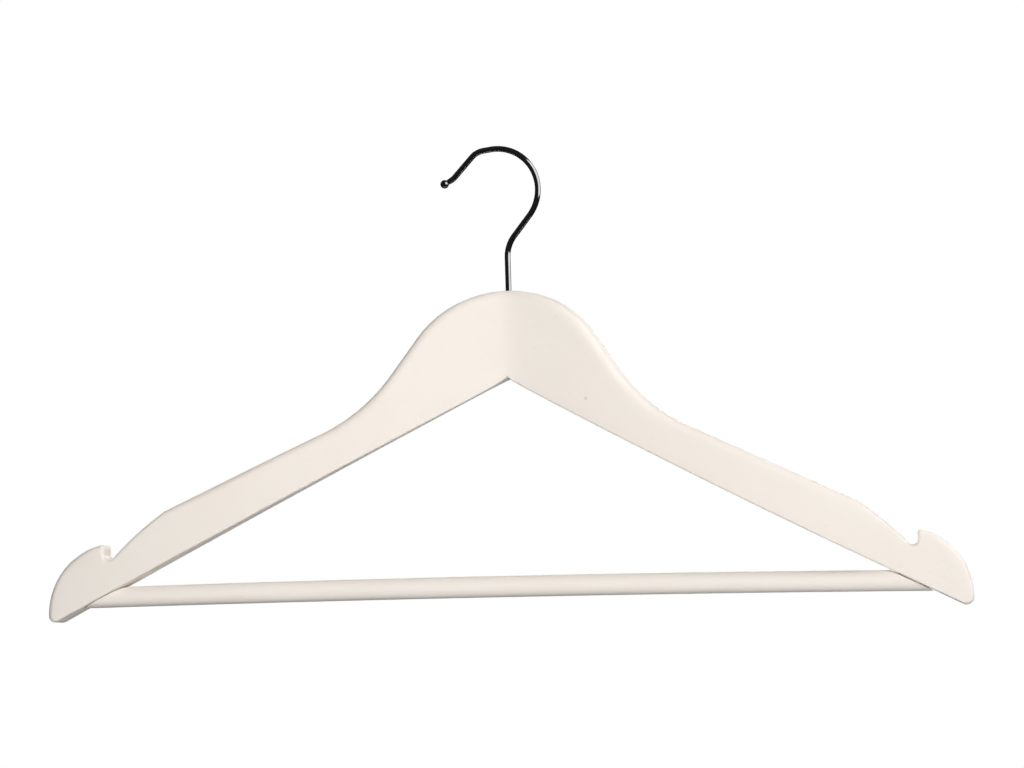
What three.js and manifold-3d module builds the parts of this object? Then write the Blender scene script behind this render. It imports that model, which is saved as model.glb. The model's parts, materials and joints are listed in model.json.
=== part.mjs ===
// Contoured wooden clothes hanger with a wire hook that swivels and a fixed trouser bar.
// Millimetres, +X along the hanger, +Y to its back, +Z up.
// The origin is the top of the hook's bend on its inner side, where a rail bears.
import * as THREE from 'three';
import { mergeVertices } from 'three/addons/utils/BufferGeometryUtils.js';
import Module from 'manifold-3d';

const wasm = await Module();
wasm.setup();

// ---------------------------------------------------------------- driving dimensions
const GAP = 0.3;                  // clearance between touching pieces
const WIDTH = 445;                // tip to tip
const THICKNESS = 12;             // of the curved board
const HEAD_DEPTH = 41.5;          // wood under the hook, from the crown to the apex below it

// Plan: each arm sweeps forward along a shallow arc and turns back at the shoulder.
const FORWARD_SWEEP = 23;         // how far the shoulder stands in front of the head
const SWEEP_REACH = 149;          // distance from the centre to the foremost point
const CENTRE_BLEND = 7;           // softens the bend where the two arms meet

// Upper edge, from the centre outwards.
const CROWN_RADIUS = 52.2;
const NECK_SLOPE = 1.415;
const NECK_END = 54.9;
const NECK_HOLLOW_RADIUS = 84.5;
const SHOULDER_SLOPE = 0.465;
const STRAP_SLOPE_START = 0.68;
const STRAP_SLOPE_END = 1.045;
const NOTCH_RADIUS = 2.5;
const NOTCH_DEPTH = 6.95;         // from the lip down to the bottom of the notch
const LIP_RADIUS = 1.6;
const CORNER_RADIUS = 3.5;

// Each arm's strap notch and tip are cut on their own, and stand slightly further out on the right.
const LEFT_END = { shoulderEnd: 163.6, notchWall: 193.3, tipRadius: 33.2 };
const RIGHT_END = { shoulderEnd: 168.8, notchWall: 197.4, tipRadius: 32.3 };

// Lower edge: falls from the apex and flattens slightly towards the tip.
const UNDERSIDE_SLOPE = 0.5421;
const UNDERSIDE_FLATTENING = 0.000124;

// Comb joint that glues the two arms together.
const FINGER_COUNT = 6;
const FINGER_REACH = 9;

// Wire hook: straight shank, offset bend, round crown, and an open nose with a ball on its end.
const WIRE = 2.8;
const WIRE_SIDES = 12;
const WIRE_STEPS = 104;
const SHANK_LEAN = 1;           // degrees, to the left
const SHANK_FREE = 16.2;          // straight wire above the wood
const OFFSET_RADIUS = 16;
const OFFSET_TURN = 39.3;         // degrees
const RISE = 12;
const CROWN_BEND_RADIUS = 20.1;
const CROWN_TURN = 136;           // degrees
const NOSE_FLAT = 3.7;
const NOSE_RADIUS = 9.3;
const NOSE_TURN = 40;             // degrees
const NOSE_LENGTH = 12.4;
const FLICK_RADIUS = 8;
const FLICK_TURN = 20;            // degrees
const FLICK_LENGTH = 3.3;
const BALL = 4.1;

// Swivel fastening, inside a counterbore that opens at the apex.
const BORE = WIRE + 2 * GAP;
const COUNTERBORE = 8.4;
const COUNTERBORE_DEPTH = 12.5;
const WASHER_OUTER = 7;
const WASHER_THICKNESS = 0.5;
const NUT_ACROSS_FLATS = 5.5;
const NUT_THICKNESS = 2.4;
const THREAD_BEYOND_NUT = 1.8;

// Trouser bar and the brads that lock it.
const BAR = 10;
const BAR_DROP = 142.5;           // axis of the bar's ends below the crown of the head
const BAR_BOW = 1.2;              // the bar's middle stands this much higher than its ends
const BAR_BOW_REACH = 208;
const BAR_FORWARD = 21.5;
const TENON = 7;
const TENON_END = 209;
const BRAD = 1.2;
const BRAD_LENGTH = 9;
const BRAD_PLACE = 203.5;
const BRAD_SUNK = 0.6;

// ---------------------------------------------------------------- small helpers
const rad = THREE.MathUtils.degToRad;
const halfWidth = WIDTH / 2;

function toSolid(geometry) {
  const plain = geometry.clone();
  plain.deleteAttribute('normal');
  plain.deleteAttribute('uv');
  const merged = mergeVertices(plain, 1e-4);
  const vertProperties = Float32Array.from(merged.attributes.position.array);
  const triVerts = Uint32Array.from(merged.index.array);
  return new wasm.Manifold(new wasm.Mesh({ numProp: 3, vertProperties, triVerts }));
}

function toGeometry(solid) {
  const mesh = solid.getMesh();
  const geometry = new THREE.BufferGeometry();
  geometry.setAttribute('position', new THREE.BufferAttribute(Float32Array.from(mesh.vertProperties), 3));
  geometry.setIndex(Array.from(mesh.triVerts));
  geometry.computeVertexNormals();
  return geometry;
}

function blockSolid(from, to) {
  const size = new THREE.Vector3().subVectors(to, from);
  const middle = new THREE.Vector3().addVectors(from, to).multiplyScalar(0.5);
  const box = new THREE.BoxGeometry(size.x, size.y, size.z);
  box.translate(middle.x, middle.y, middle.z);
  return toSolid(box);
}

// A round rod of the given diameter between two points.
function rodSolid(diameter, from, to, sides = 24) {
  const along = new THREE.Vector3().subVectors(to, from);
  const rod = new THREE.CylinderGeometry(diameter / 2, diameter / 2, along.length(), sides);
  const turn = new THREE.Quaternion().setFromUnitVectors(
    new THREE.Vector3(0, 1, 0), along.clone().normalize());
  rod.applyQuaternion(turn);
  const middle = new THREE.Vector3().addVectors(from, to).multiplyScalar(0.5);
  rod.translate(middle.x, middle.y, middle.z);
  return toSolid(rod);
}

// A round bar or wire of the given diameter along a path.
function roundAlong(path, diameter, sides, steps) {
  const section = new THREE.Shape();
  section.absarc(0, 0, diameter / 2, 0, 2 * Math.PI, false);
  const points = section.getPoints(sides / 2).slice(0, sides);
  return new THREE.ExtrudeGeometry(new THREE.Shape(points), {
    extrudePath: path, steps, bevelEnabled: false });
}

// An outline drawn in the front view (X, Z) and extruded through the given depths along Y.
function frontExtrusion(points, front, back) {
  const solid = new THREE.ExtrudeGeometry(new THREE.Shape(points), {
    depth: back - front, bevelEnabled: false });
  solid.rotateX(Math.PI / 2);
  solid.translate(0, back, 0);
  return toSolid(solid);
}

// ---------------------------------------------------------------- the curved board
// Heights here are measured from the crown of the head, and distances from the shank's axis.
function forwardAt(distance) {
  const eased = Math.hypot(distance, CENTRE_BLEND) - CENTRE_BLEND;
  return FORWARD_SWEEP * (1 - (1 - eased / SWEEP_REACH) ** 2);
}

function undersideAt(distance) {
  const x = Math.abs(distance);
  return -HEAD_DEPTH - UNDERSIDE_SLOPE * x + UNDERSIDE_FLATTENING * x * x;
}

// Centre of a circle on the right-hand side of a point when facing along a falling slope.
function belowSlope(point, slope, radius) {
  const length = Math.hypot(1, slope);
  return new THREE.Vector2(point.x - radius * slope / length, point.y - radius / length);
}

function aboveSlope(point, slope, radius) {
  return belowSlope(point, slope, -radius);
}

const pointOnSlope = (start, slope, x) => new THREE.Vector2(x, start.y - slope * (x - start.x));

// Half of the outline, from the middle of the crown to the apex underneath, drawn to the right.
function halfOutline({ shoulderEnd, notchWall, tipRadius }) {
  const neckAngle = Math.atan(NECK_SLOPE);
  const shoulderAngle = Math.atan(SHOULDER_SLOPE);
  const strapStartAngle = Math.atan(STRAP_SLOPE_START);
  const strapEndAngle = Math.atan(STRAP_SLOPE_END);
  const up = Math.PI / 2;
  const outline = new THREE.Path();

  // crown, then the straight side of the neck
  outline.moveTo(0, 0);
  outline.absarc(0, -CROWN_RADIUS, CROWN_RADIUS, up, up - neckAngle, true);
  const neckTop = outline.currentPoint.clone();
  const neckFoot = pointOnSlope(neckTop, NECK_SLOPE, NECK_END);
  outline.lineTo(neckFoot.x, neckFoot.y);

  // hollow between the neck and the shoulder, then the long shoulder
  const hollow = aboveSlope(neckFoot, NECK_SLOPE, NECK_HOLLOW_RADIUS);
  outline.absarc(hollow.x, hollow.y, NECK_HOLLOW_RADIUS, -up - neckAngle, -up - shoulderAngle, false);
  const shoulderTop = outline.currentPoint.clone();
  const shoulderFoot = pointOnSlope(shoulderTop, SHOULDER_SLOPE, shoulderEnd);
  outline.lineTo(shoulderFoot.x, shoulderFoot.y);

  // ramp into the strap notch: an arc that steepens until it meets the bottom of the notch
  const notchCentreX = notchWall - NOTCH_RADIUS;
  const rampEndX = notchCentreX - NOTCH_RADIUS * Math.sin(strapEndAngle);
  const rampRadius = (rampEndX - shoulderEnd) / (Math.sin(strapEndAngle) - Math.sin(strapStartAngle));
  const ramp = belowSlope(shoulderFoot, STRAP_SLOPE_START, rampRadius);
  outline.absarc(ramp.x, ramp.y, rampRadius, up - strapStartAngle, up - strapEndAngle, true);
  const rampEnd = outline.currentPoint.clone();
  const notchCentreY = rampEnd.y + NOTCH_RADIUS * Math.cos(strapEndAngle);
  outline.absarc(notchCentreX, notchCentreY, NOTCH_RADIUS, -up - strapEndAngle, 0, false);

  // wall and lip, then the round tip
  const lipTop = notchCentreY - NOTCH_RADIUS + NOTCH_DEPTH;
  const lipX = notchWall + LIP_RADIUS;
  outline.lineTo(notchWall, lipTop - LIP_RADIUS);
  const tipX = halfWidth - tipRadius;
  const lipToTip = Math.asin((lipX - tipX) / (tipRadius - LIP_RADIUS));
  outline.absarc(lipX, lipTop - LIP_RADIUS, LIP_RADIUS, Math.PI, up - lipToTip, true);
  const tipY = lipTop - LIP_RADIUS - (tipRadius - LIP_RADIUS) * Math.cos(lipToTip);
  outline.absarc(tipX, tipY, tipRadius, up - lipToTip, 0, true);

  // rounded lower corner and the underside back to the apex
  const cornerX = halfWidth - CORNER_RADIUS;
  const undersideAngle = Math.atan(UNDERSIDE_SLOPE - 2 * UNDERSIDE_FLATTENING * cornerX);
  const cornerFootX = cornerX - CORNER_RADIUS * Math.sin(undersideAngle);
  const cornerY = undersideAt(cornerFootX) + CORNER_RADIUS * Math.cos(undersideAngle);
  outline.lineTo(halfWidth, cornerY);
  outline.absarc(cornerX, cornerY, CORNER_RADIUS, 0, -up - undersideAngle, true);
  const controlX = cornerFootX / 2;
  const controlY = -HEAD_DEPTH - UNDERSIDE_SLOPE * controlX;
  outline.quadraticCurveTo(controlX, controlY, 0, -HEAD_DEPTH);
  return outline.getPoints(6);
}

function mirrored(points) {
  return points.slice(1, -1).reverse().map((point) => new THREE.Vector2(-point.x, point.y));
}

// Plan of the board: a band of constant thickness along the swept line of both arms.
function planBand() {
  const reach = halfWidth + THICKNESS;
  const stations = 34;
  const front = [];
  const back = [];
  for (let i = -stations; i <= stations; i += 1) {
    const x = Math.sign(i) * reach * (Math.abs(i) / stations) ** 1.5;
    const step = 0.01;
    const slope = (forwardAt(x + step) - forwardAt(x - step)) / (2 * step);
    const across = new THREE.Vector2(slope, 1).normalize().multiplyScalar(THICKNESS / 2);
    front.push(new THREE.Vector2(x - across.x, -forwardAt(x) - across.y));
    back.push(new THREE.Vector2(x + across.x, -forwardAt(x) + across.y));
  }
  const band = new THREE.ExtrudeGeometry(new THREE.Shape([...front, ...back.reverse()]), {
    depth: 200, bevelEnabled: false });
  band.translate(0, 0, -190);
  return toSolid(band);
}

// Everything bored out of the wood: the swivel's bore, the bar's sockets and the brads' holes.
function bores() {
  const counterboreTop = -HEAD_DEPTH + COUNTERBORE_DEPTH;
  const down = (z) => new THREE.Vector3(0, 0, z);
  let cut = rodSolid(BORE, down(10), down(-HEAD_DEPTH - 20), 24);
  cut = cut.add(rodSolid(COUNTERBORE, down(counterboreTop), down(-HEAD_DEPTH - 20), 32));
  for (const side of [-1, 1]) {
    const socketMouth = new THREE.Vector3(side * 180, -BAR_FORWARD, -BAR_DROP);
    const socketEnd = new THREE.Vector3(side * (TENON_END + GAP), -BAR_FORWARD, -BAR_DROP);
    cut = cut.add(rodSolid(TENON + 2 * GAP, socketMouth, socketEnd, 24));
    cut = cut.add(bradHole(side));
  }
  return cut;
}

const backFaceY = -forwardAt(BRAD_PLACE) + THICKNESS / 2;

function bradHole(side) {
  const x = side * BRAD_PLACE;
  const tip = backFaceY - BRAD_SUNK - BRAD_LENGTH - GAP;
  return rodSolid(BRAD + 2 * GAP, new THREE.Vector3(x, backFaceY + 5, -BAR_DROP),
    new THREE.Vector3(x, tip, -BAR_DROP), 12);
}

// What is taken off the board to leave one arm: the far side, and the other arm's fingers.
function combCutter(side) {
  const far = halfWidth + 30;
  const half = GAP / 2;
  const block = (inner, outer, low, high) => blockSolid(
    new THREE.Vector3(Math.min(inner, outer), -60, low),
    new THREE.Vector3(Math.max(inner, outer), 60, high));
  let cut = block(-side * (FINGER_REACH - half), -side * far, -200, 20);
  const combTop = 0;
  const combBottom = undersideAt(FINGER_REACH);
  const pitch = (combTop - combBottom) / FINGER_COUNT;
  for (let level = 0; level < FINGER_COUNT; level += 1) {
    const isOtherArms = (level % 2 === 0) === (side > 0);
    if (isOtherArms) {
      const high = level === 0 ? 20 : -level * pitch + half;
      const low = level === FINGER_COUNT - 1 ? -200 : -(level + 1) * pitch - half;
      const inner = side * (FINGER_REACH + half);
      cut = cut.add(block(inner, -side * far, low, high));
    }
  }
  return cut;
}

const boardOutline = [...halfOutline(RIGHT_END), ...mirrored(halfOutline(LEFT_END))].reverse();
const board = frontExtrusion(boardOutline, -60, 60).intersect(planBand()).subtract(bores());
const armLeftSolid = board.subtract(combCutter(-1));
const armRightSolid = board.subtract(combCutter(1));

// ---------------------------------------------------------------- the trouser bar
// The bar's round body, bowed upwards very slightly in the middle.
function bowedRod() {
  const at = (x, rise) => new THREE.Vector3(x, -BAR_FORWARD, -BAR_DROP + rise);
  const path = new THREE.QuadraticBezierCurve3(
    at(-BAR_BOW_REACH, 0), at(0, 2 * BAR_BOW), at(BAR_BOW_REACH, 0));
  return toSolid(roundAlong(path, BAR, 28, 16));
}

// The bar's ends are cut to the slope of the undersides, and go on as tenons into the arms.
function trouserBarSolid() {
  const under = [];
  const steps = 20;
  for (let i = 0; i <= steps; i += 1) {
    const x = -halfWidth + WIDTH * i / steps;
    under.push(new THREE.Vector2(x, undersideAt(x) - GAP * Math.hypot(1, UNDERSIDE_SLOPE)));
  }
  under.push(new THREE.Vector2(halfWidth, -200), new THREE.Vector2(-halfWidth, -200));
  const between = frontExtrusion(under.reverse(), -60, 60);
  let bar = bowedRod().intersect(between);
  const tenonStart = new THREE.Vector3(-TENON_END, -BAR_FORWARD, -BAR_DROP);
  const tenonEnd = new THREE.Vector3(TENON_END, -BAR_FORWARD, -BAR_DROP);
  bar = bar.add(rodSolid(TENON, tenonStart, tenonEnd, 24));
  return bar.subtract(bradHole(-1)).subtract(bradHole(1));
}

function bradSolid(side) {
  const x = side * BRAD_PLACE;
  const top = backFaceY - BRAD_SUNK;
  return rodSolid(BRAD, new THREE.Vector3(x, top, -BAR_DROP),
    new THREE.Vector3(x, top - BRAD_LENGTH, -BAR_DROP), 12);
}

// ---------------------------------------------------------------- the hook
// Walks a pen through straights and bends in the front view, and records each as a curve.
class WireWalk {
  constructor(x, z, heading) {
    this.place = new THREE.Vector3(x, 0, z);
    this.heading = rad(heading);
    this.path = new THREE.CurvePath();
  }

  ahead(length) {
    const direction = new THREE.Vector3(Math.cos(this.heading), 0, Math.sin(this.heading));
    return this.place.clone().addScaledVector(direction, length);
  }

  straight(length) {
    const end = this.ahead(length);
    this.path.add(new THREE.LineCurve3(this.place, end));
    this.place = end;
  }

  // A positive turn bends to the left of the direction of travel.
  bend(radius, degrees) {
    const arc = new WireBend(this.place, this.heading, radius, rad(degrees));
    this.path.add(arc);
    this.place = arc.getPoint(1);
    this.heading += rad(degrees);
  }
}

class WireBend extends THREE.Curve {
  constructor(start, heading, radius, turn) {
    super();
    this.start = start;
    this.heading = heading;
    this.radius = radius * Math.sign(turn);
    this.turn = turn;
  }

  getPoint(t, target = new THREE.Vector3()) {
    const now = this.heading + this.turn * t;
    const x = this.start.x + this.radius * (Math.sin(now) - Math.sin(this.heading));
    const z = this.start.z - this.radius * (Math.cos(now) - Math.cos(this.heading));
    return target.set(x, 0, z);
  }
}

const washerTop = -HEAD_DEPTH + COUNTERBORE_DEPTH - GAP;
const nutTop = washerTop - WASHER_THICKNESS - GAP;
const wireEnd = nutTop - NUT_THICKNESS - THREAD_BEYOND_NUT;

const wire = new WireWalk(0, wireEnd, 90);
wire.straight(1 - wireEnd);
wire.heading = rad(90 + SHANK_LEAN);
wire.straight(SHANK_FREE - 1);
wire.bend(OFFSET_RADIUS, -OFFSET_TURN);
wire.straight(RISE);
const crownStart = wire.place.clone();
const crownHeading = wire.heading;
wire.bend(CROWN_BEND_RADIUS, CROWN_TURN);
wire.straight(NOSE_FLAT);
wire.bend(NOSE_RADIUS, NOSE_TURN);
wire.straight(NOSE_LENGTH);
wire.bend(FLICK_RADIUS, -FLICK_TURN);
wire.straight(FLICK_LENGTH);
const ballPlace = wire.place.clone();

// The rail bears on the inner side of the crown at its highest point.
const railSeat = new THREE.Vector3(
  crownStart.x - CROWN_BEND_RADIUS * Math.sin(crownHeading), 0,
  crownStart.z + CROWN_BEND_RADIUS * (1 + Math.cos(crownHeading)) - WIRE / 2);

function hookSolid() {
  const bentWire = roundAlong(wire.path, WIRE, WIRE_SIDES, WIRE_STEPS);
  const ball = new THREE.SphereGeometry(BALL / 2, 16, 10);
  ball.translate(ballPlace.x, ballPlace.y, ballPlace.z);
  return toSolid(bentWire).add(toSolid(ball));
}

function washerGeometry() {
  const inner = BORE / 2;
  const outer = WASHER_OUTER / 2;
  const profile = [[inner, 0], [outer, 0], [outer, WASHER_THICKNESS], [inner, WASHER_THICKNESS], [inner, 0]];
  const ring = new THREE.LatheGeometry(profile.map(([r, h]) => new THREE.Vector2(r, h)), 32);
  ring.rotateX(Math.PI / 2);
  ring.translate(0, 0, washerTop - WASHER_THICKNESS);
  return ring;
}

function nutGeometry() {
  const hexagon = new THREE.Shape();
  const corner = NUT_ACROSS_FLATS / Math.sqrt(3);
  for (let i = 0; i < 6; i += 1) {
    const angle = i * Math.PI / 3;
    const point = [corner * Math.cos(angle), corner * Math.sin(angle)];
    if (i === 0) hexagon.moveTo(...point);
    else hexagon.lineTo(...point);
  }
  const hole = new THREE.Path();
  hole.absarc(0, 0, BORE / 2, 0, 2 * Math.PI, true);
  hexagon.holes.push(hole);
  const nut = new THREE.ExtrudeGeometry(hexagon, {
    depth: NUT_THICKNESS, bevelEnabled: false, curveSegments: 12 });
  nut.translate(0, 0, nutTop - NUT_THICKNESS);
  return nut;
}

// ---------------------------------------------------------------- materials and assembly
const ivoryPaint = () => new THREE.MeshStandardMaterial({ color: 0xf3ece2, roughness: 0.42, metalness: 0 });
const chrome = () => new THREE.MeshStandardMaterial({ color: 0xb9bcc0, roughness: 0.08, metalness: 1 });
const zinc = () => new THREE.MeshStandardMaterial({ color: 0xa7a9a6, roughness: 0.35, metalness: 1 });

const hanger = new THREE.Group();

function addPiece(name, geometry, material) {
  const piece = new THREE.Mesh(geometry, material);
  piece.name = name;
  piece.position.set(-railSeat.x, 0, -railSeat.z);
  hanger.add(piece);
}

addPiece('arm_left', toGeometry(armLeftSolid), ivoryPaint());
addPiece('arm_right', toGeometry(armRightSolid), ivoryPaint());
addPiece('trouser_bar', toGeometry(trouserBarSolid()), ivoryPaint());
addPiece('bar_brad_left', toGeometry(bradSolid(-1)), zinc());
addPiece('bar_brad_right', toGeometry(bradSolid(1)), zinc());
addPiece('hook', toGeometry(hookSolid()), chrome());
addPiece('hook_washer', washerGeometry(), zinc());
addPiece('hook_nut', nutGeometry(), zinc());

export default hanger;
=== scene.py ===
import json
import math

import bmesh
import bpy
import numpy as np
from mathutils import Matrix, Vector
from mathutils.geometry import delaunay_2d_cdt


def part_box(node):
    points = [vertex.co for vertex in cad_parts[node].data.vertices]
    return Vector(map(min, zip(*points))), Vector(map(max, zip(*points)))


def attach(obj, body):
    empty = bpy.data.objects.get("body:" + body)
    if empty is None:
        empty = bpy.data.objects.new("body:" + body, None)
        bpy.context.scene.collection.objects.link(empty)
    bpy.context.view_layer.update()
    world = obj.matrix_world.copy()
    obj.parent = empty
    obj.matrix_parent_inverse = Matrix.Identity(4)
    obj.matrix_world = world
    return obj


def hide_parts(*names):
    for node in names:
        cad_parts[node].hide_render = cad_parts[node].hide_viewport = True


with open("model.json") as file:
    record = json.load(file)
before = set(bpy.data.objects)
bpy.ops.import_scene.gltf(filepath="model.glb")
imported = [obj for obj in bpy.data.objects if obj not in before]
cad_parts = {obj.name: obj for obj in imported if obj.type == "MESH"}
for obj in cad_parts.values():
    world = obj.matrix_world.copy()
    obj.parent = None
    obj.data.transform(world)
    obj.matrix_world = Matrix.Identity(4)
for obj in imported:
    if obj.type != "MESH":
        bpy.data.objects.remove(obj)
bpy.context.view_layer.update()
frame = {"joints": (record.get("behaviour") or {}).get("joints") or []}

MM = 0.001
GAP = 0.12                      # paint-to-paint gap that shows as a thin contact line
OPEN_GAP = 0.55                 # the same at the bar's right end, where the joint stands open

# ---------------------------------------------------------------- sizes
HALF_WIDTH = 222.5
THICKNESS = 12.0
HEAD_DEPTH = 41.5
FORWARD_SWEEP = 23.0
SWEEP_REACH = 149.0
CENTRE_BLEND = 7.0

CROWN_RADIUS = 52.2
NECK_SLOPE = 1.415
NECK_END = 54.9
NECK_HOLLOW_RADIUS = 84.5
SHOULDER_SLOPE = 0.465
STRAP_SLOPE_START = 0.68
STRAP_SLOPE_END = 1.045
NOTCH_RADIUS = 2.5
NOTCH_DEPTH = 6.95
LIP_RADIUS = 1.6
CORNER_RADIUS = 3.5
UNDERSIDE_SLOPE = 0.5421
UNDERSIDE_FLATTENING = 0.000124

# Each arm's strap notch and tip are cut on their own, and stand slightly further out on the right.
LEFT_END = {"shoulder_end": 163.6, "notch_wall": 193.3, "tip_radius": 33.2}
RIGHT_END = {"shoulder_end": 168.8, "notch_wall": 197.4, "tip_radius": 32.3}

EDGE_ROUND_TOP = 3.9
EDGE_ROUND_RAMP = 2.6
EDGE_ROUND_NOTCH = 2.0
EDGE_ROUND_TIP = 3.4
EDGE_ROUND_BOTTOM = 1.0
TAPER_LENGTH = 22.0             # end of the shoulder, where its rounding shrinks towards the ramp's
TIP_BLEND = 0.35                # share of the tip's arc over which its rounding grows

FINGER_COUNT = 6
FINGER_REACH = 9.0

WIRE = 2.8
WIRE_SIDES = 32
SHANK_LEAN = 1.0
LEAN_BEND = 2.0                 # length of wire over which the shank leans
SHANK_FREE = 16.2
OFFSET_RADIUS = 16.0
OFFSET_TURN = 39.3
RISE = 12.0
CROWN_BEND_RADIUS = 20.1
CROWN_TURN = 136.0
NOSE_FLAT = 3.7
NOSE_RADIUS = 9.3
NOSE_TURN = 40.0
NOSE_LENGTH = 12.4
FLICK_RADIUS = 8.0
FLICK_TURN = 20.0
FLICK_LENGTH = 3.3
BALL = 4.1
BALL_NECK = 2.45
NECK_LENGTH = 2.2
THREAD_PITCH = 0.5
THREAD_DEPTH = 0.16
THREAD_ABOVE_NUT = 1.2
THREAD_FADE = 0.6

BORE = 3.4
COUNTERBORE = 8.4
COUNTERBORE_DEPTH = 12.5
STACK_GAP = 0.3                 # between the counterbore's roof, the washer and the nut
WASHER_OUTER = 7.0
WASHER_THICKNESS = 0.5
NUT_ACROSS_FLATS = 5.5
NUT_THICKNESS = 2.4
THREAD_BEYOND_NUT = 1.8

BAR = 10.0
BAR_DROP = 142.5
BAR_BOW = 1.2
BAR_FORWARD = 21.5
TENON = 7.0
TENON_END = 209.0
BRAD = 1.2
BRAD_LENGTH = 9.0
BRAD_PLACE = 203.5
BRAD_SUNK = 0.6

UP = math.pi / 2                # the upward direction in the front view, as an angle
SHANK_AXIS = Vector(frame["joints"][0]["pos_m"])
HEAD_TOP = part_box("arm_left")[1][2]


def to_row_frame(points):
    """Millimetres from the shank's axis and the head's crown, to metres in the part's frame."""
    out = np.asarray(points, float) * MM
    return out + np.array([SHANK_AXIS.x, 0.0, HEAD_TOP])


# ---------------------------------------------------------------- the board's outline
def forward(x):
    """How far the board's middle surface stands in front of the shank's axis."""
    eased = np.hypot(x, CENTRE_BLEND) - CENTRE_BLEND
    return FORWARD_SWEEP * (1 - (1 - eased / SWEEP_REACH) ** 2)


def forward_slope(x):
    step = 0.01
    return (forward(x + step) - forward(x - step)) / (2 * step)


def underside(x):
    x = np.abs(x)
    return -HEAD_DEPTH - UNDERSIDE_SLOPE * x + UNDERSIDE_FLATTENING * x * x


def arc(centre, radius, start, end, spacing):
    count = max(3, int(abs(end - start) * radius / spacing) + 1)
    angles = np.linspace(start, end, count)
    return np.stack([centre[0] + radius * np.cos(angles), centre[1] + radius * np.sin(angles)], 1)


def straight(start, end, spacing):
    count = max(2, int(np.hypot(*(np.asarray(end) - start)) / spacing) + 1)
    share = np.linspace(0, 1, count)[:, None]
    return np.asarray(start) * (1 - share) + np.asarray(end) * share


def circle_beside(point, slope, radius):
    """Centre of a circle that touches a falling line at a point: above it, or below if negative."""
    return np.asarray(point) + radius * np.array([slope, 1.0]) / math.hypot(1, slope)


class Trail:
    """An outline gathered run by run, with the edge rounding at each of its points."""

    def __init__(self, spacing, fine):
        self.spacing, self.fine = spacing, fine
        self.runs = []

    def run(self, points, round_from, round_to=None):
        round_to = round_from if round_to is None else round_to
        self.runs.append((points, np.linspace(round_from, round_to, len(points))))
        return points[-1]

    def joined(self):
        points = np.concatenate([self.runs[0][0]] + [r[0][1:] for r in self.runs[1:]])
        rounds = np.concatenate([self.runs[0][1]] + [r[1][1:] for r in self.runs[1:]])
        return points, rounds


def crown_and_shoulder(trail, shoulder_end):
    """From the crown's middle down the neck and along the shoulder, to the foot of the ramp."""
    neck, shoulder = math.atan(NECK_SLOPE), math.atan(SHOULDER_SLOPE)
    comb_angle = math.asin(FINGER_REACH / CROWN_RADIUS)
    crown = (0, -CROWN_RADIUS)
    trail.run(arc(crown, CROWN_RADIUS, UP, UP - comb_angle, trail.fine * 2), EDGE_ROUND_TOP)
    crown_side = arc(crown, CROWN_RADIUS, UP - comb_angle, UP - neck, trail.spacing)
    neck_top = trail.run(crown_side, EDGE_ROUND_TOP)
    neck_foot = (NECK_END, neck_top[1] - NECK_SLOPE * (NECK_END - neck_top[0]))
    trail.run(straight(neck_top, neck_foot, trail.spacing), EDGE_ROUND_TOP)

    hollow = circle_beside(neck_foot, NECK_SLOPE, NECK_HOLLOW_RADIUS)
    hollow_arc = arc(hollow, NECK_HOLLOW_RADIUS, -UP - neck, -UP - shoulder, trail.spacing)
    top = trail.run(hollow_arc, EDGE_ROUND_TOP)
    foot = (shoulder_end, top[1] - SHOULDER_SLOPE * (shoulder_end - top[0]))
    taper = (foot[0] - TAPER_LENGTH, foot[1] + TAPER_LENGTH * SHOULDER_SLOPE)
    trail.run(straight(top, taper, trail.spacing), EDGE_ROUND_TOP)
    trail.run(straight(taper, foot, trail.spacing), EDGE_ROUND_TOP, EDGE_ROUND_RAMP)
    return foot


def ramp_and_notch(trail, foot, notch_wall):
    """Down the steepening ramp and round the bottom of the strap notch, to its upright wall."""
    ramp_start, ramp_end = math.atan(STRAP_SLOPE_START), math.atan(STRAP_SLOPE_END)
    notch_x = notch_wall - NOTCH_RADIUS
    ramp_end_x = notch_x - NOTCH_RADIUS * math.sin(ramp_end)
    ramp_radius = (ramp_end_x - foot[0]) / (math.sin(ramp_end) - math.sin(ramp_start))
    ramp = circle_beside(foot, STRAP_SLOPE_START, -ramp_radius)
    ramp_arc = arc(ramp, ramp_radius, UP - ramp_start, UP - ramp_end, trail.spacing)
    end = trail.run(ramp_arc, EDGE_ROUND_RAMP, EDGE_ROUND_NOTCH)
    notch_z = end[1] + NOTCH_RADIUS * math.cos(ramp_end)
    notch_arc = arc((notch_x, notch_z), NOTCH_RADIUS, -UP - ramp_end, 0, trail.fine)
    return trail.run(notch_arc, EDGE_ROUND_NOTCH)


def lip_and_tip(trail, wall_foot, notch_wall, tip_radius):
    """Up the notch's wall, over its lip and round the tip, to the arm's furthest point."""
    lip_z = wall_foot[1] - NOTCH_RADIUS + NOTCH_DEPTH - LIP_RADIUS
    lip_x = notch_wall + LIP_RADIUS
    trail.run(straight(wall_foot, (notch_wall, lip_z), trail.fine), EDGE_ROUND_NOTCH)
    tip_x = HALF_WIDTH - tip_radius
    lean = math.asin((lip_x - tip_x) / (tip_radius - LIP_RADIUS))
    trail.run(arc((lip_x, lip_z), LIP_RADIUS, math.pi, UP - lean, trail.fine), EDGE_ROUND_NOTCH)

    tip = (tip_x, lip_z - (tip_radius - LIP_RADIUS) * math.cos(lean))
    upper = (UP - lean) * (1 - TIP_BLEND)
    tip_spacing = trail.spacing * 0.7
    trail.run(arc(tip, tip_radius, UP - lean, upper, tip_spacing), EDGE_ROUND_NOTCH, EDGE_ROUND_TIP)
    return trail.run(arc(tip, tip_radius, upper, 0, tip_spacing), EDGE_ROUND_TIP)


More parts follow.
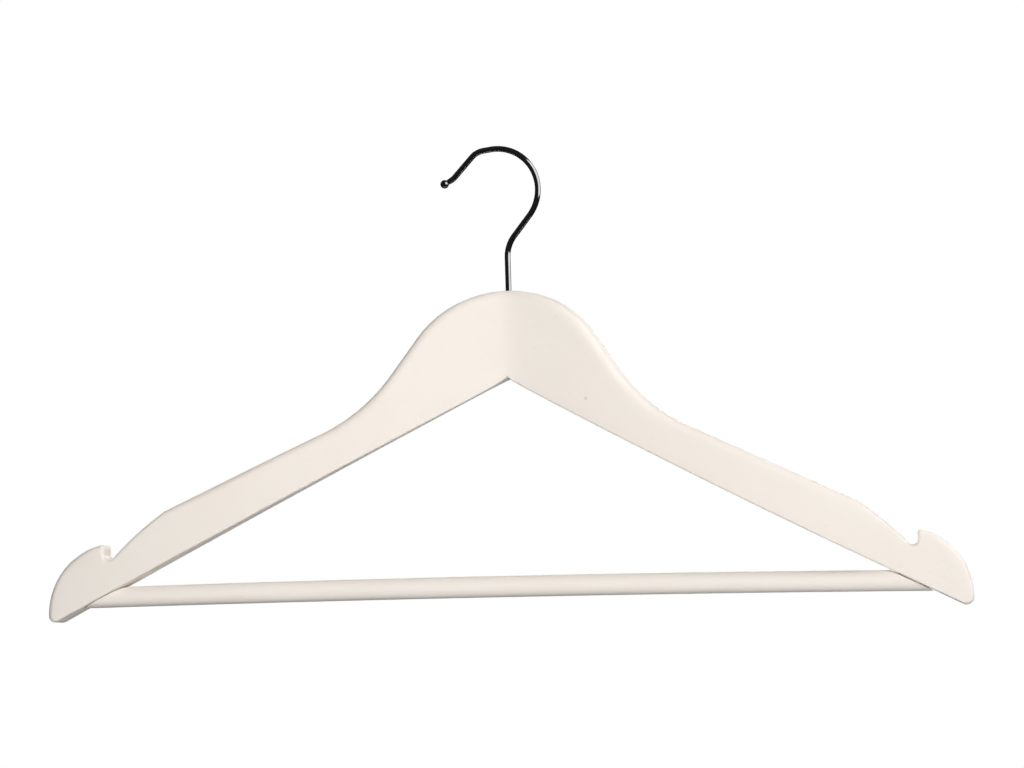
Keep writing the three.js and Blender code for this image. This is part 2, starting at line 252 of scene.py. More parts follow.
def corner_and_underside(trail, tip_end):
    """Down to the bottom corner, round it, and back along the underside to the apex."""
    corner_x = HALF_WIDTH - CORNER_RADIUS
    fall = math.atan(UNDERSIDE_SLOPE - 2 * UNDERSIDE_FLATTENING * corner_x)
    foot_x = corner_x - CORNER_RADIUS * math.sin(fall)
    corner_z = underside(foot_x) + CORNER_RADIUS * math.cos(fall)
    trail.run(straight(tip_end, (HALF_WIDTH, corner_z), trail.fine), EDGE_ROUND_TIP)
    corner_arc = arc((corner_x, corner_z), CORNER_RADIUS, 0, -UP - fall, trail.fine)
    trail.run(corner_arc, EDGE_ROUND_TIP, EDGE_ROUND_BOTTOM)
    for start, stop, gap in ((foot_x, FINGER_REACH, trail.spacing), (FINGER_REACH, 0.0, trail.fine * 2)):
        xs = np.linspace(start, stop, int((start - stop) / gap) + 2)
        trail.run(np.stack([xs, underside(xs)], 1), EDGE_ROUND_BOTTOM)


def half_outline(end_cut, spacing, fine):
    """Outline from the crown's middle round the tip to the apex, and each point's edge rounding."""
    trail = Trail(spacing, fine)
    foot = crown_and_shoulder(trail, end_cut["shoulder_end"])
    wall_foot = ramp_and_notch(trail, foot, end_cut["notch_wall"])
    tip_end = lip_and_tip(trail, wall_foot, end_cut["notch_wall"], end_cut["tip_radius"])
    corner_and_underside(trail, tip_end)
    return trail.joined()


def whole_outline(spacing=1.6, fine=0.3):
    """The board's closed outline, clockwise from the crown's middle, with its edge rounding."""
    right, right_rounds = half_outline(RIGHT_END, spacing, fine)
    left, left_rounds = half_outline(LEFT_END, spacing, fine)
    left = left[1:-1][::-1] * np.array([-1, 1])
    return np.concatenate([right, left]), np.concatenate([right_rounds, left_rounds[1:-1][::-1]])


OUTLINE, ROUNDS = whole_outline()


# ---------------------------------------------------------------- rounding the edges
def edge_drop(points):
    """How far the rounded edge falls below the board's flat face at each point."""
    start, end = OUTLINE, np.roll(OUTLINE, -1, axis=0)
    radius = (ROUNDS + np.roll(ROUNDS, -1)) / 2
    along = end - start
    squared = (along ** 2).sum(1) + 1e-12
    drops = np.zeros(len(points))
    for low in range(0, len(points), 500):
        chunk = points[low:low + 500]
        offset = chunk[:, None, :] - start[None]
        share = np.clip((offset * along).sum(2) / squared, 0, 1)
        away = np.hypot(*np.moveaxis(offset - share[:, :, None] * along, 2, 0))
        inside = np.clip(radius - away, 0, None)
        drops[low:low + 500] = (radius - np.sqrt(radius ** 2 - inside ** 2)).max(1)
    return drops


def inside_polygon(points, polygon):
    x, z = points[:, 0][:, None], points[:, 1][:, None]
    ax, az = polygon[:, 0], polygon[:, 1]
    bx, bz = np.roll(ax, -1), np.roll(az, -1)
    crosses = (az > z) != (bz > z)
    at = ax + (z - az) * (bx - ax) / np.where(bz == az, 1e-9, bz - az)
    return (crosses & (x < at)).sum(1) % 2 == 1


def distance_to(points, polygon):
    start, along = polygon, np.roll(polygon, -1, axis=0) - polygon
    squared = (along ** 2).sum(1) + 1e-12
    nearest = np.zeros(len(points))
    for low in range(0, len(points), 500):
        offset = points[low:low + 500, None, :] - start[None]
        share = np.clip((offset * along).sum(2) / squared, 0, 1)
        nearest[low:low + 500] = np.hypot(*np.moveaxis(offset - share[:, :, None] * along, 2, 0)).min(1)
    return nearest


def ring_points():
    """Points in rows along the outline, spaced as equal angles of the rounded edge."""
    tangent = np.roll(OUTLINE, -1, axis=0) - np.roll(OUTLINE, 1, axis=0)
    tangent /= np.hypot(*tangent.T)[:, None]
    inward = np.stack([tangent[:, 1], -tangent[:, 0]], 1)
    rows = []
    for degrees in (15, 30, 45, 60, 75, 90):
        inset = ROUNDS * (1 - math.cos(math.radians(degrees)))
        row = OUTLINE + inward * inset[:, None]
        expected = ROUNDS * (1 - math.sin(math.radians(degrees)))
        honest = np.abs(edge_drop(row) - expected) < 0.04
        rows.append(row[honest])
    return np.concatenate(rows)


def face_grid():
    """Points over the flat of the face, closer together where the two arms meet in a bend."""
    wide = np.arange(-HALF_WIDTH, HALF_WIDTH, 3.0)
    wide = wide[np.abs(wide) > 14]
    close = np.arange(-13.5, 13.6, 0.75)
    columns = np.sort(np.concatenate([wide, close]))
    levels = np.arange(-165.0, 0.0, 3.0)
    grid = np.stack(np.meshgrid(columns, levels), -1).reshape(-1, 2)
    grid[:, 1] += 1.5 * (np.round(grid[:, 0] / 3.0) % 2)
    grid = grid[inside_polygon(grid, OUTLINE)]
    return grid[distance_to(grid, OUTLINE) > EDGE_ROUND_TOP + 0.9]


# ---------------------------------------------------------------- the comb joint
def comb_line():
    """The stepped line between the two arms, from the crown down to the underside."""
    pitch = -underside(FINGER_REACH) / FINGER_COUNT
    crown_edge = math.sqrt(CROWN_RADIUS ** 2 - FINGER_REACH ** 2) - CROWN_RADIUS
    corners = [np.array([FINGER_REACH, crown_edge])]
    side = 1
    for level in range(1, FINGER_COUNT):
        corners.append(np.array([side * FINGER_REACH, -level * pitch]))
        side = -side
        corners.append(np.array([side * FINGER_REACH, -level * pitch]))
    corners.append(np.array([side * FINGER_REACH, underside(FINGER_REACH)]))
    runs = [straight(a, b, 0.5) for a, b in zip(corners[:-1], corners[1:])]
    return np.concatenate([runs[0]] + [r[1:] for r in runs[1:]])


def arm_polygon(side):
    """One arm's outline in the front view, with its fingers: counter-clockwise."""
    seam = comb_line()
    near = lambda point: int(np.hypot(*(OUTLINE - point).T).argmin())
    top, bottom = near(seam[0]), near(seam[-1])
    right = OUTLINE[top:bottom + 1]
    if side > 0:
        return np.concatenate([right, seam[1:-1][::-1]])[::-1]
    left = np.concatenate([OUTLINE[bottom:], OUTLINE[:top + 1]])
    return np.concatenate([left, seam[1:-1]])[::-1]


# ---------------------------------------------------------------- meshes
def bent(points, depth):
    """Points of the flat board, at a depth behind its middle surface, carried onto the swept arms."""
    x, z = points[:, 0], points[:, 1]
    slope = forward_slope(x)
    length = np.hypot(1, slope)
    return np.stack([x + depth * slope / length, -forward(x) + depth / length, z], 1)


def new_mesh(name, vertices, faces, sharp=32):
    mesh = bpy.data.meshes.new(name)
    mesh.from_pydata([tuple(v) for v in vertices], [], [tuple(int(i) for i in f) for f in faces])
    mesh.validate()
    piece = bpy.data.objects.new(name, mesh)
    bpy.context.scene.collection.objects.link(piece)
    smooth(piece, sharp)
    return piece


def smooth(piece, sharp):
    piece.data.polygons.foreach_set("use_smooth", [True] * len(piece.data.polygons))
    piece.data.set_sharp_from_angle(angle=math.radians(sharp))


def arm_mesh(name, side, filling):
    """A closed board: front and back faces with rounded edges, and the narrow flat between them."""
    polygon = arm_polygon(side)
    inner = filling[inside_polygon(filling, polygon)]
    inner = inner[distance_to(inner, polygon) > 0.1]
    count = len(polygon)
    loop = [(i, (i + 1) % count) for i in range(count)]
    coords = [Vector(p) for p in np.concatenate([polygon, inner])]
    flat, _, faces, origins, _, _ = delaunay_2d_cdt(coords, loop, [], 1, 1e-5)
    points = np.array([tuple(v) for v in flat])
    place = {old: new for new, olds in enumerate(origins) for old in olds}

    half = THICKNESS / 2 - edge_drop(points)
    total = len(points)
    vertices = np.concatenate([bent(points, -half), bent(points, half)])
    triangles = [tuple(f) for f in faces]
    backs = [tuple(i + total for i in reversed(f)) for f in faces]
    walls = []
    for a, b in loop:
        a, b = place[a], place[b]
        walls.append((a, a + total, b + total, b))
    return new_mesh(name, to_row_frame(vertices), triangles + backs + walls)


def rings_mesh(name, rings, sharp=32, closed=False):
    """A skin through rings of equal count, with a flat cap on each end unless it closes on itself."""
    rings = [np.asarray(r) for r in rings]
    count = len(rings[0])
    faces = []
    pairs = list(zip(range(len(rings) - 1), range(1, len(rings))))
    if closed:
        pairs.append((len(rings) - 1, 0))
    for low, high in pairs:
        for i in range(count):
            j = (i + 1) % count
            faces.append((low * count + i, low * count + j, high * count + j, high * count + i))
    if not closed:
        last = (len(rings) - 1) * count
        faces.append(tuple(reversed(range(count))))
        faces.append(tuple(range(last, last + count)))
    piece = new_mesh(name, np.concatenate(rings), faces, sharp)
    turn_outwards(piece, sharp)
    return piece


def turn_outwards(piece, sharp):
    shape = bmesh.new()
    shape.from_mesh(piece.data)
    bmesh.ops.recalc_face_normals(shape, faces=shape.faces)
    shape.to_mesh(piece.data)
    shape.free()
    smooth(piece, sharp)


def circle(count, offset=0.0):
    return (np.arange(count) + offset) * 2 * math.pi / count


def turned(profile, centre, axis, count=48):
    """Rings of a turned shape: profile pairs are radius and distance along the axis."""
    axis = np.asarray(axis, float)
    side = np.array([0.0, 0.0, 1.0]) if abs(axis[2]) < 0.9 else np.array([1.0, 0.0, 0.0])
    other = np.cross(axis, side)
    angles = circle(count)[:, None]
    rings = []
    for radius, along in profile:
        middle = np.asarray(centre, float) + axis * along
        rings.append(middle + radius * (np.cos(angles) * side + np.sin(angles) * other))
    return rings


def cut_away(piece, cutters, sharp=32):
    """Cuts the pieces named cutters out of a piece, and removes them."""
    for cutter in cutters:
        step = piece.modifiers.new("cut", "BOOLEAN")
        step.operation = "DIFFERENCE"
        step.solver = "EXACT"
        step.object = cutter
    graph = bpy.context.evaluated_depsgraph_get()
    done = bpy.data.meshes.new_from_object(piece.evaluated_get(graph))
    piece.modifiers.clear()
    piece.data = done
    for cutter in cutters:
        bpy.data.objects.remove(cutter)
    smooth(piece, sharp)


# ---------------------------------------------------------------- wooden pieces
def rod_cutter(name, diameter, start, end, count=48):
    start, end = np.asarray(start, float), np.asarray(end, float)
    length = np.linalg.norm(end - start)
    rings = turned([(diameter / 2, 0.0), (diameter / 2, length)], start, (end - start) / length, count)
    return rings_mesh(name, [to_row_frame(r) for r in rings])


def brad_back_face():
    return -forward(BRAD_PLACE) + THICKNESS / 2 / math.hypot(1, forward_slope(BRAD_PLACE))


def brad_line(side):
    slope = forward_slope(BRAD_PLACE)
    x = side * (BRAD_PLACE + THICKNESS / 2 * slope / math.hypot(1, slope))
    return x, brad_back_face()


def make_arm(name, side, filling):
    arm = arm_mesh(name, side, filling)
    bore_top = -HEAD_DEPTH + COUNTERBORE_DEPTH
    x, back = brad_line(side)
    cutters = [
        rod_cutter("bore", BORE, (0, 0, -HEAD_DEPTH - 20), (0, 0, 10)),
        rod_cutter("counterbore", COUNTERBORE, (0, 0, -HEAD_DEPTH - 20), (0, 0, bore_top)),
        rod_cutter("socket", TENON + 0.2, (side * 185, -BAR_FORWARD, -BAR_DROP),
                   (side * (TENON_END + 0.3), -BAR_FORWARD, -BAR_DROP)),
        rod_cutter("brad_hole", BRAD + 0.3, (x, back + 5, -BAR_DROP),
                   (x, back - BRAD_SUNK - BRAD_LENGTH - 0.3, -BAR_DROP), 24),
    ]
    cut_away(arm, cutters)
    return arm


def bar_centre(share):
    return -BAR_DROP + BAR_BOW * (1 - share ** 2)


def underside_reach(z):
    """Distance from the centre at which the underside is at height z."""
    a, b, c = UNDERSIDE_FLATTENING, -UNDERSIDE_SLOPE, -HEAD_DEPTH - z
    return (-b - np.sqrt(b * b - 4 * a * c)) / (2 * a)


def make_bar():
    """Turned dowel, very slightly bowed, cut to the slope of the undersides, with a tenon each end."""
    count = 64
    angles = circle(count)
    y, up = np.cos(angles), np.sin(angles)
    gap = GAP * math.hypot(1, UNDERSIDE_SLOPE)
    body_end = underside_reach(-BAR_DROP + BAR / 2 * up + gap)
    open_end = underside_reach(-BAR_DROP + BAR / 2 * up + OPEN_GAP)
    tenon_start = underside_reach(-BAR_DROP + TENON / 2 * up + gap)

    def ring(x, radius, share):
        return np.stack([x, -BAR_FORWARD + radius * y, bar_centre(share) + radius * up], 1)

    def tenon_ring(x, radius):
        return ring(np.full(count, x), radius, 1)

    rings = [tenon_ring(-TENON_END, TENON / 2 - 0.5), tenon_ring(0.5 - TENON_END, TENON / 2),
             ring(-tenon_start, TENON / 2, 1)]
    for share in np.linspace(-1, 1, 161):
        end = open_end if share > 0 else body_end
        rings.append(ring(share * end, BAR / 2, share))
    rings += [ring(tenon_start, TENON / 2, 1),
              tenon_ring(TENON_END - 0.5, TENON / 2), tenon_ring(TENON_END, TENON / 2 - 0.5)]
    bar = rings_mesh("trouser_bar_turned", [to_row_frame(r) for r in rings])
    cutters = []
    for side in (-1, 1):
        x, back = brad_line(side)
        cutters.append(rod_cutter("brad_hole", BRAD + 0.1, (x, back + 5, -BAR_DROP),
                                  (x, back - BRAD_SUNK - BRAD_LENGTH - 0.1, -BAR_DROP), 24))
    cut_away(bar, cutters)
    return bar


# ---------------------------------------------------------------- metal pieces
def make_brad(name, side):
    """Headless brad, sunk below the back face, with a domed head and a pointed end."""
    x, back = brad_line(side)
    r = BRAD / 2
    dome = [(r * math.sin(a), 0.25 * (1 - math.cos(a))) for a in np.linspace(0.15, math.pi / 2, 5)]
    shaft = [(r, 0.5), (r, BRAD_LENGTH - 1.4)]
    point = [(r * 0.55, BRAD_LENGTH - 0.6), (r * 0.12, BRAD_LENGTH)]
    rings = turned(dome + shaft + point, (x, back - BRAD_SUNK, -BAR_DROP), (0, -1, 0), 24)
    return rings_mesh(name, [to_row_frame(q) for q in rings])


def wire_walk(stretches):
    """Centre line of the wire: (length, turn in degrees) pairs, a turn being bent over the length."""
    place = np.array([0.0, 0.0])
    heading = math.pi / 2
    points, headings = [place.copy()], [heading]
    for length, degrees in stretches:
        turn = math.radians(degrees)
        steps = max(2, int(length / 0.5), int(abs(degrees) / 3))
        for _ in range(steps):
            middle = heading + turn / steps / 2
            place = place + length / steps * np.array([math.cos(middle), math.sin(middle)])
            heading += turn / steps
            points.append(place.copy())
            headings.append(heading)
    return np.array(points), np.array(headings)


def bend(radius, degrees):
    return radius * math.radians(abs(degrees)), degrees


def hook_levels():
    """Heights of the washer's top, the nut's top and the wire's lower end."""
    washer_top = -HEAD_DEPTH + COUNTERBORE_DEPTH - STACK_GAP
    nut_top = washer_top - WASHER_THICKNESS - STACK_GAP
    wire_end = nut_top - NUT_THICKNESS - THREAD_BEYOND_NUT
    return washer_top, nut_top, wire_end


def wire_ring(centre, heading, radius):
    """A ring round the wire's centre line, square to its heading in the front view."""
    angles = circle(WIRE_SIDES)
    across = np.array([-math.sin(heading), math.cos(heading)])
    sideways = radius * np.cos(angles)
    return np.stack([centre[0] + across[0] * sideways, radius * np.sin(angles),
                     centre[1] + across[1] * sideways], 1)


def foot_rings(wire_end, thread_top):
    """The wire's rolled thread, chamfered at its end, and the plain shank inside the wood."""
    angles = circle(WIRE_SIDES)
    chamfer, chamfer_length = 0.35, 0.4
    rings = []
    for z in np.arange(wire_end, thread_top, THREAD_PITCH / 8):
        phase = ((z - wire_end) / THREAD_PITCH - angles / (2 * math.pi)) % 1.0
        ridge = 1 - np.abs(2 * phase - 1)
        fade = min(1.0, (z - wire_end) / THREAD_FADE, (thread_top - z) / THREAD_FADE)
        cut = chamfer * max(0.0, 1 - (z - wire_end) / chamfer_length)
        rings.append(wire_ring((0, z), UP, WIRE / 2 - THREAD_DEPTH * fade * (1 - ridge) - cut))
    for z in np.linspace(thread_top, -0.5, 12):
        rings.append(wire_ring((0, z), UP, WIRE / 2))
    return rings


def bent_rings(points, headings):
    """The wire above the wood, drawn in to a neck just before its ball."""
    travelled = np.concatenate([[0], np.cumsum(np.hypot(*np.diff(points, axis=0).T))])
    ball_start = BALL / 2 * math.cos(math.asin(BALL_NECK / BALL))
    rings = []
    for point, heading, at in zip(points, headings, travelled):
        left = travelled[-1] - ball_start - at
        if left <= 0:
            break
        pinch = max(0.0, 1 - left / NECK_LENGTH)
        blend = pinch * pinch * (3 - 2 * pinch)
        rings.append(wire_ring(point, heading, WIRE / 2 + (BALL_NECK - WIRE) / 2 * blend))
    return rings


def ball_rings(nose, heading):
    direction = np.array([math.cos(heading), math.sin(heading)])
    rings = []
    for angle in np.linspace(math.pi - math.asin(BALL_NECK / BALL), 0.06, 20):
        centre = nose + direction * BALL / 2 * math.cos(angle)
        rings.append(wire_ring(centre, heading, BALL / 2 * math.sin(angle)))
    return rings


def make_hook():
    """Bent wire with a rolled thread at its foot and an upset ball on its nose."""
    _, nut_top, wire_end = hook_levels()
    in_wood = 1.0
    stretches = [(in_wood - LEAN_BEND / 2, 0), (LEAN_BEND, SHANK_LEAN),
                 (SHANK_FREE - in_wood - LEAN_BEND / 2, 0),
                 bend(OFFSET_RADIUS, -OFFSET_TURN), (RISE, 0), bend(CROWN_BEND_RADIUS, CROWN_TURN),
                 (NOSE_FLAT, 0), bend(NOSE_RADIUS, NOSE_TURN), (NOSE_LENGTH, 0),
                 bend(FLICK_RADIUS, -FLICK_TURN), (FLICK_LENGTH, 0)]
    points, headings = wire_walk(stretches)
    rings = foot_rings(wire_end, nut_top + THREAD_ABOVE_NUT)
    rings += bent_rings(points, headings)
    rings += ball_rings(points[-1], headings[-1])
    return rings_mesh("hook_wire", [to_row_frame(r) for r in rings], sharp=50)


def make_washer():
    top, _, _ = hook_levels()
    inner, outer, soft, thick = BORE / 2, WASHER_OUTER / 2, 0.08, WASHER_THICKNESS
    lower = [(inner, soft), (inner + soft, 0), (outer - soft, 0), (outer, soft)]
    upper = [(outer, thick - soft), (outer - soft, thick), (inner + soft, thick), (inner, thick - soft)]
    profile = lower + upper
    rings = turned(profile, (0, 0, top - WASHER_THICKNESS), (0, 0, 1), 64)
    return rings_mesh("hook_washer_plate", [to_row_frame(r) for r in rings], closed=True)


def make_nut():
    """Hexagon nut with its corners chamfered by a cone on both faces."""
    _, top, _ = hook_levels()
    count = 96
    angles = circle(count)
    flats = NUT_ACROSS_FLATS / 2
    hexagon = flats / np.cos((angles + math.pi / 6) % (math.pi / 3) - math.pi / 6)
    cone = lambda depth: flats * 0.97 + depth * 1.7
    levels = [0.0, 0.08, 0.16, 0.25, 0.34, 0.45]
    levels = levels + [NUT_THICKNESS - v for v in reversed(levels)]
    hole = WIRE / 2 + 0.12
    rings = []

    def ring(radius, level):
        radius = np.broadcast_to(radius, angles.shape)
        return np.stack([radius * np.cos(angles), radius * np.sin(angles),
                         np.full(count, top - NUT_THICKNESS + level)], 1)

    rings.append(ring(hole, 0.25))
    rings.append(ring(hole + 0.25, 0.0))
    for level in levels:
        depth = min(level, NUT_THICKNESS - level)
        rings.append(ring(np.minimum(hexagon, cone(depth)), level))
    rings.append(ring(hole + 0.25, NUT_THICKNESS))
    rings.append(ring(hole, NUT_THICKNESS - 0.25))
    return rings_mesh("hook_nut_hexagon", [to_row_frame(r) for r in rings], closed=True)


# ---------------------------------------------------------------- materials
class Finish:
    """A small helper that adds shader nodes by name and wires them."""

    def __init__(self, name):
        self.material = bpy.data.materials.new(name)
        self.material.use_nodes = True
        self.nodes = self.material.node_tree.nodes
        self.links = self.material.node_tree.links
        self.shader = self.nodes["Principled BSDF"]

    def add(self, kind, inputs=None, **settings):
        node = self.nodes.new("ShaderNode" + kind)
        for key, value in settings.items():
            setattr(node, key, value)
        for key, value in (inputs or {}).items():
            if isinstance(value, bpy.types.NodeSocket):
                self.links.new(value, node.inputs[key])
            else:
                node.inputs[key].default_value = value
        return node

    def place(self, scale, turn=0.0):
        """Object coordinates, turned about Y and stretched, for grain that runs along a piece."""
        source = self.add("TexCoord").outputs["Object"]
        turned_by = self.add("Mapping", {"Vector": source, "Rotation": (0, turn, 0)}).outputs[0]
        return self.add("Mapping", {"Vector": turned_by, "Scale": scale}).outputs[0]

    def noise(self, where, scale, detail=4.0, roughness=0.5):
        return self.add("TexNoise", {"Vector": where, "Scale": scale, "Detail": detail,
                                     "Roughness": roughness}).outputs["Fac"]

    def spread(self, value, low, high, out_low=0.0, out_high=1.0):
        return self.add("MapRange", {"Value": value, "From Min": low, "From Max": high,
                                     "To Min": out_low, "To Max": out_high}).outputs[0]

    def maths(self, operation, first, second):
        return self.add("Math", {0: first, 1: second}, operation=operation).outputs[0]

    def tint(self, share, first, second):
        mix = self.add("Mix", data_type="RGBA")
        for socket, value in ((0, share), (6, first), (7, second)):
            if isinstance(value, bpy.types.NodeSocket):
                self.links.new(value, mix.inputs[socket])
            elif socket == 0:
                mix.inputs[0].default_value = value
            else:
                mix.inputs[socket].default_value = (*value, 1.0)
        return mix.outputs[2]

    def bump(self, height, distance, strength=1.0, onto=None):
        inputs = {"Height": height, "Distance": distance, "Strength": strength}
        if onto is not None:
            inputs["Normal"] = onto
        return self.add("Bump", inputs).outputs[0]

    def feed(self, socket, value):
        self.links.new(value, self.shader.inputs[socket])


def painted_wood(name, turn, pale, warm, knock=None):
    """Ivory satin paint over wood: faint grain telegraphing through, spray texture and soft mottling.

    A knock is the place of one small dent in the paint, on the front face.
    """
    finish = Finish(name)
    everywhere = finish.add("TexCoord").outputs["Object"]
    along_grain = finish.place((14, 260, 260), turn)
    grain = finish.noise(along_grain, 1.0, 6.0, 0.6)
    pores = finish.noise(finish.place((60, 1500, 1500), turn), 1.0, 2.0, 0.5)
    mottling = finish.noise(everywhere, 22.0, 3.0, 0.55)
    spray = finish.noise(everywhere, 1500.0, 2.0, 0.6)
    waviness = finish.noise(everywhere, 90.0, 2.0, 0.5)
    specks = finish.spread(finish.noise(everywhere, 700.0, 1.0, 0.4), 0.76, 0.80)

    base = finish.tint(finish.spread(mottling, 0.3, 0.7), pale, warm)
    base = finish.tint(finish.spread(grain, 0.55, 0.8, 0.0, 0.10), base, tuple(0.93 * c for c in warm))
    base = finish.tint(finish.maths("MULTIPLY", specks, 0.22), base, (0.52, 0.45, 0.36))
    if knock is not None:
        away = finish.add("VectorMath", {0: everywhere, 1: knock}, operation="DISTANCE").outputs["Value"]
        base = finish.tint(finish.spread(away, 0.0004, 0.0011, 0.4, 0.0), base, (0.42, 0.40, 0.38))
    finish.feed("Base Color", base)

    gloss = finish.maths("ADD", finish.spread(mottling, 0.3, 0.7, 0.50, 0.57),
                         finish.spread(spray, 0.3, 0.7, -0.03, 0.03))
    finish.feed("Roughness", gloss)
    normal = finish.bump(waviness, 0.00022)
    normal = finish.bump(grain, 0.00010, onto=normal)
    normal = finish.bump(pores, 0.00003, onto=normal)
    normal = finish.bump(spray, 0.000025, onto=normal)
    finish.feed("Normal", normal)
    finish.shader.inputs["Specular IOR Level"].default_value = 0.3
    finish.shader.inputs["Coat Weight"].default_value = 0.04
    finish.shader.inputs["Coat Roughness"].default_value = 0.3
    return finish.material


def chrome_plate():
    """Bright chrome on drawn wire: hairline draw marks, handling scratches and slight haze."""
    finish = Finish("chrome_plate")
    everywhere = finish.add("TexCoord").outputs["Object"]
    haze = finish.noise(everywhere, 160.0, 3.0, 0.6)
    hairlines = finish.noise(finish.place((2600, 2600, 120)), 1.0, 3.0, 0.7)
    pits = finish.spread(finish.noise(everywhere, 2200.0, 1.0, 0.4), 0.72, 0.78)
    base = finish.tint(finish.spread(haze, 0.35, 0.7), (0.70, 0.70, 0.71), (0.60, 0.60, 0.61))
    base = finish.tint(finish.maths("MULTIPLY", pits, 0.2), base, (0.22, 0.20, 0.18))
    finish.feed("Base Color", base)
    rough = finish.maths("ADD", finish.spread(haze, 0.3, 0.75, 0.045, 0.11),
                         finish.spread(hairlines, 0.5, 0.8, 0.0, 0.08))
    finish.feed("Roughness", rough)
    normal = finish.bump(hairlines, 0.000003)
    normal = finish.bump(haze, 0.00001, onto=normal)
    finish.feed("Normal", normal)
    finish.shader.inputs["Metallic"].default_value = 1.0
    return finish.material


def zinc_plate():
    """Dull zinc: grey with a faint warm passivation, crystalline mottling and fine scratches."""
    finish = Finish("zinc_plate")
    everywhere = finish.add("TexCoord").outputs["Object"]
    mottling = finish.noise(everywhere, 900.0, 4.0, 0.6)
    scratches = finish.noise(finish.place((300, 5000, 5000), 0.6), 1.0, 2.0, 0.6)
    base = finish.tint(finish.spread(mottling, 0.3, 0.7), (0.46, 0.46, 0.45), (0.60, 0.59, 0.54))
    finish.feed("Base Color", base)
    rough = finish.maths("ADD", finish.spread(mottling, 0.3, 0.7, 0.28, 0.42),
                         finish.spread(scratches, 0.5, 0.8, 0.0, 0.12))
    finish.feed("Roughness", rough)
    finish.feed("Normal", finish.bump(scratches, 0.00001))
    finish.shader.inputs["Metallic"].default_value = 1.0
    return finish.material


# ---------------------------------------------------------------- stage, light and camera
def floor_plane():
    """Pale paper far below that glows evenly; it adds nothing to the hanger's light."""
    size, level = 14.0, -3.4
    corners = [(-size, -size, level), (size, -size, level), (size, size, level), (-size, size, level)]
    floor = new_mesh("floor", corners, [(0, 1, 2, 3)])
    finish = Finish("floor_paper")
    mottling = finish.noise(finish.add("TexCoord").outputs["Object"], 3.0, 3.0, 0.5)
    finish.feed("Base Color", finish.tint(mottling, (0.40, 0.40, 0.395), (0.42, 0.42, 0.415)))
    finish.shader.inputs["Roughness"].default_value = 0.9
    finish.shader.inputs["Emission Color"].default_value = (1.0, 1.0, 0.985, 1.0)
    finish.shader.inputs["Emission Strength"].default_value = 0.8
    floor.data.materials.append(finish.material)
    floor.visible_diffuse = False
    floor.visible_glossy = False


def surroundings():
    """White to look at; for light and reflections, a dim room that is darker below."""
    world = bpy.data.worlds.new("studio")
    bpy.context.scene.world = world
    world.use_nodes = True
    tree = world.node_tree
    tree.nodes.clear()
    add = lambda kind: tree.nodes.new("ShaderNode" + kind)
    direction = add("TexCoord")
    split = add("SeparateXYZ")
    tree.links.new(direction.outputs["Generated"], split.inputs[0])
    rise = add("MapRange")
    rise.inputs["From Min"].default_value = -0.6
    rise.inputs["From Max"].default_value = 0.9
    rise.inputs["To Min"].default_value = 0.01
    rise.inputs["To Max"].default_value = 0.02
    tree.links.new(split.outputs["Z"], rise.inputs["Value"])
    room = add("Background")
    room.inputs["Color"].default_value = (1, 1, 1, 1)
    tree.links.new(rise.outputs[0], room.inputs["Strength"])
    seen = add("Background")
    seen.inputs["Color"].default_value = (1, 1, 1, 1)
    path = add("LightPath")
    mix = add("MixShader")
    out = add("OutputWorld")
    tree.links.new(path.outputs["Is Camera Ray"], mix.inputs[0])
    tree.links.new(room.outputs[0], mix.inputs[1])
    tree.links.new(seen.outputs[0], mix.inputs[2])
    tree.links.new(mix.outputs[0], out.inputs["Surface"])


def area_light(name, azimuth, elevation, distance, watts, width, height=None):
    """A softbox aimed at the middle of the hanger; azimuth runs from the front towards +X."""
    lamp = bpy.data.lights.new(name, "AREA")
    lamp.energy = watts
    lamp.shape = "RECTANGLE"
    lamp.size = width
    lamp.size_y = height or width
    turn, rise = math.radians(azimuth), math.radians(elevation)
    outwards = Vector((math.sin(turn) * math.cos(rise), -math.cos(turn) * math.cos(rise), math.sin(rise)))
    holder = bpy.data.objects.new(name, lamp)
    holder.location = Vector((0, 0, -0.11)) + outwards * distance
    holder.rotation_euler = outwards.to_track_quat("Z", "Y").to_euler()
    holder.visible_camera = False
    bpy.context.scene.collection.objects.link(holder)
    return holder


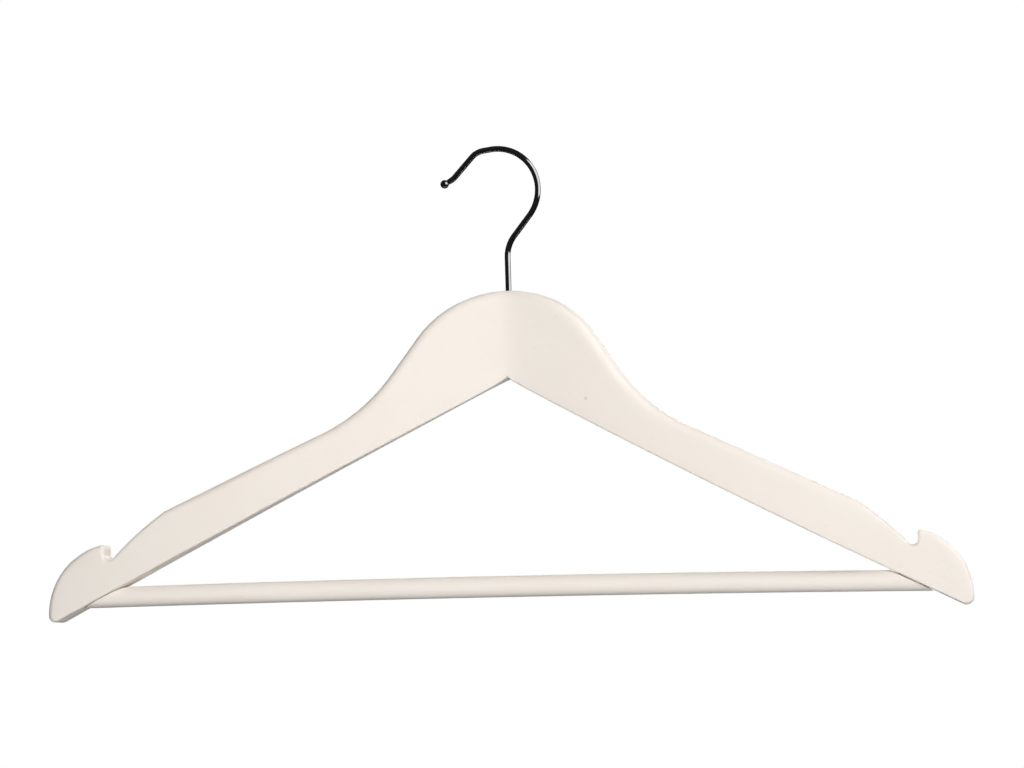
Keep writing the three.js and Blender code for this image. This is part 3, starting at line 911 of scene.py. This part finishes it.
def camera():
    azimuth, elevation, roll = math.radians(12.70), math.radians(-4.23), math.radians(0.77)
    distance = 2.5
    view_width = 0.486784           # metres across the picture at the aim point
    sensor = 36.0
    aim = Vector((SHANK_AXIS.x + 1.07 * MM, 0, HEAD_TOP - 44.33 * MM))
    back = Vector((math.sin(azimuth) * math.cos(elevation), -math.cos(azimuth) * math.cos(elevation),
                   math.sin(elevation)))
    right = Vector((math.cos(azimuth), math.sin(azimuth), 0))
    up = back.cross(right)
    turned_right = right * math.cos(roll) - up * math.sin(roll)
    turned_up = right * math.sin(roll) + up * math.cos(roll)
    eye = bpy.data.objects.new("camera", bpy.data.cameras.new("camera"))
    eye.data.sensor_width = sensor
    eye.data.lens = sensor * distance / view_width
    eye.data.clip_end = 50
    axes = Matrix((turned_right, turned_up, back)).transposed()
    eye.matrix_world = Matrix.Translation(aim + back * distance) @ axes.to_4x4()
    bpy.context.scene.collection.objects.link(eye)
    bpy.context.scene.camera = eye


# ---------------------------------------------------------------- assembly
def finish_piece(piece, material, body, slot, *nodes):
    piece.data.materials.clear()
    piece.data.materials.append(material)
    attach(piece, body)
    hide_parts(*nodes)


camera()
surroundings()
floor_plane()
# Each lamp's azimuth and elevation in degrees, distance in metres, power in watts and size in metres.
for lamp in (
        area_light("key", 8, 14, 1.4, 17.2, 0.6),
        area_light("side_high", 106, 45, 1.2, 9.5, 0.7),
        area_light("side_low", 106, -25, 1.2, 6.0, 0.7),
        area_light("low_front", 8, -45, 1.8, 10.0, 0.9),
        area_light("back_fill", 170, 15, 1.6, 14.0, 0.9)):
    lamp.visible_glossy = False
area_light("side_softbox", 80, 28, 1.2, 9.0, 2.0, 1.3).visible_diffuse = False

PALE, WARM = (0.868, 0.810, 0.745), (0.853, 0.792, 0.722)
KNOCK = (0.0451, -0.0153, -0.1203)
GRAIN_TURN = math.atan(UNDERSIDE_SLOPE)
ZINC = zinc_plate()
FILLING = np.concatenate([ring_points(), face_grid()])
IVORY = {"left": painted_wood("ivory_left", GRAIN_TURN, PALE, WARM),
         "right": painted_wood("ivory_right", -GRAIN_TURN, PALE, WARM, KNOCK),
         "bar": painted_wood("ivory_bar", 0.0, PALE, WARM)}

for name, side in (("left", -1), ("right", 1)):
    board = make_arm(f"arm_{name}_board", side, FILLING)
    finish_piece(board, IVORY[name], "hanger_body", "painted_wood", f"arm_{name}")
finish_piece(make_bar(), IVORY["bar"], "hanger_body", "painted_dowel", "trouser_bar")
finish_piece(make_brad("bar_brad_left_nail", -1), ZINC, "hanger_body", "zinc_steel", "bar_brad_left")
finish_piece(make_brad("bar_brad_right_nail", 1), ZINC, "hanger_body", "zinc_steel", "bar_brad_right")
finish_piece(make_hook(), chrome_plate(), "hook", "chrome_wire", "hook")
finish_piece(make_washer(), ZINC, "hook", "zinc_steel", "hook_washer")
finish_piece(make_nut(), ZINC, "hook", "zinc_steel", "hook_nut")

bpy.context.scene.view_settings.view_transform = "Standard"
